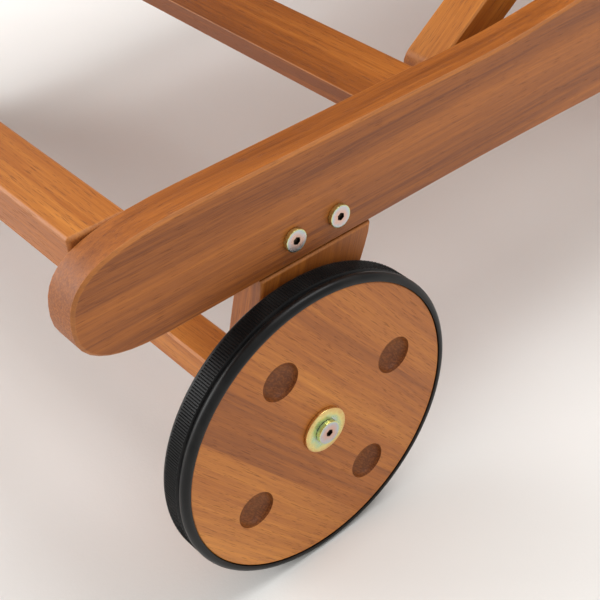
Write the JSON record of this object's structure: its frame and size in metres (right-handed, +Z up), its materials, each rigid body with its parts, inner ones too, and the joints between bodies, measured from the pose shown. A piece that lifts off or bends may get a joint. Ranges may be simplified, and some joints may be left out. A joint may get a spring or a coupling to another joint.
{
  "type": "sun lounger",
  "caption": "Slatted hardwood sun lounger with a folding backrest on a prop and two rubber-tyred wheels at its head end",
  "frame": {"origin": "on the floor, under the middle of the part's box with the backrest at 30 degrees", "axes": "+X from the head end to the foot end, +Y to the left side, +Z up"},
  "size_m": [2, 0.7002, 0.6875],
  "materials": {
    "oiled_hardwood": "oiled, fine straight grain",
    "wheel_hardwood": "oiled, glued staves",
    "rubber": "knurled tread, smooth beads",
    "zinc_plate": "yellow passivated zinc"
  },
  "bodies": {
    "frame": {"rail_right": "oiled_hardwood", "rail_left": "oiled_hardwood", "head_board": "oiled_hardwood", "cross_slat": "oiled_hardwood", "hinge_board": "oiled_hardwood", "foot_board": "oiled_hardwood", "seat_slat_01": "oiled_hardwood", "seat_slat_02": "oiled_hardwood", "seat_slat_03": "oiled_hardwood", "seat_slat_04": "oiled_hardwood", "seat_slat_05": "oiled_hardwood", "seat_slat_06": "oiled_hardwood", "seat_slat_07": "oiled_hardwood", "seat_slat_08": "oiled_hardwood", "seat_slat_09": "oiled_hardwood", "seat_slat_10": "oiled_hardwood", "seat_slat_11": "oiled_hardwood", "wheel_leg_right": "oiled_hardwood", "wheel_leg_left": "oiled_hardwood", "leg_cleat_right": "oiled_hardwood", "leg_cleat_left": "oiled_hardwood", "axle_beam": "oiled_hardwood", "foot_leg_right": "oiled_hardwood", "foot_leg_left": "oiled_hardwood", "foot_stretcher": "oiled_hardwood", "prop_rack_right": "oiled_hardwood", "prop_rack_left": "oiled_hardwood", "hinge_rod": "zinc_plate", "hub_bolt_right": "zinc_plate", "hub_bolt_left": "zinc_plate", "hub_washer_right": "zinc_plate", "hub_washer_left": "zinc_plate", "hub_spacer_right": "zinc_plate", "hub_spacer_left": "zinc_plate", "rail_bolt_right_1": "zinc_plate", "rail_bolt_right_2": "zinc_plate", "rail_bolt_left_1": "zinc_plate", "rail_bolt_left_2": "zinc_plate"},
    "backrest": {"back_stile_right": "oiled_hardwood", "back_stile_left": "oiled_hardwood", "back_slat_1": "oiled_hardwood", "back_slat_2": "oiled_hardwood", "back_slat_3": "oiled_hardwood", "back_slat_4": "oiled_hardwood", "back_slat_5": "oiled_hardwood", "back_slat_6": "oiled_hardwood", "back_slat_7": "oiled_hardwood", "back_slat_8": "oiled_hardwood", "prop_bolt_right": "zinc_plate", "prop_bolt_left": "zinc_plate"},
    "prop": {"prop_leg_right": "oiled_hardwood", "prop_leg_left": "oiled_hardwood", "prop_bar": "oiled_hardwood", "prop_pin_right": "zinc_plate", "prop_pin_left": "zinc_plate"},
    "wheel_right": {"wheel_disc_right": "wheel_hardwood", "tyre_right": "rubber"},
    "wheel_left": {"wheel_disc_left": "wheel_hardwood", "tyre_left": "rubber"}
  },
  "joints": [
    {"name": "recline", "type": "hinge", "parent": "frame", "child": "backrest", "pos_m": [-0.1919, 0, 0.261], "axis": [0, 1, 0], "range_deg": [-30, 30]},
    {"name": "prop_swing", "type": "hinge", "parent": "backrest", "child": "prop", "pos_m": [-0.45517, 0, 0.413], "axis": [0, -1, 0], "range_deg": [-60, 60]},
    {"name": "wheel_right_spin", "type": "hinge", "parent": "frame", "child": "wheel_right", "pos_m": [-0.8735, -0.335, 0.1], "axis": [0, 1, 0], "continuous": true},
    {"name": "wheel_left_spin", "type": "hinge", "parent": "frame", "child": "wheel_left", "pos_m": [-0.8735, 0.335, 0.1], "axis": [0, 1, 0], "continuous": true}
  ],
  "couplings": [
    {"joint": "prop_swing", "follows": "recline", "ratio": 2}
  ]
}
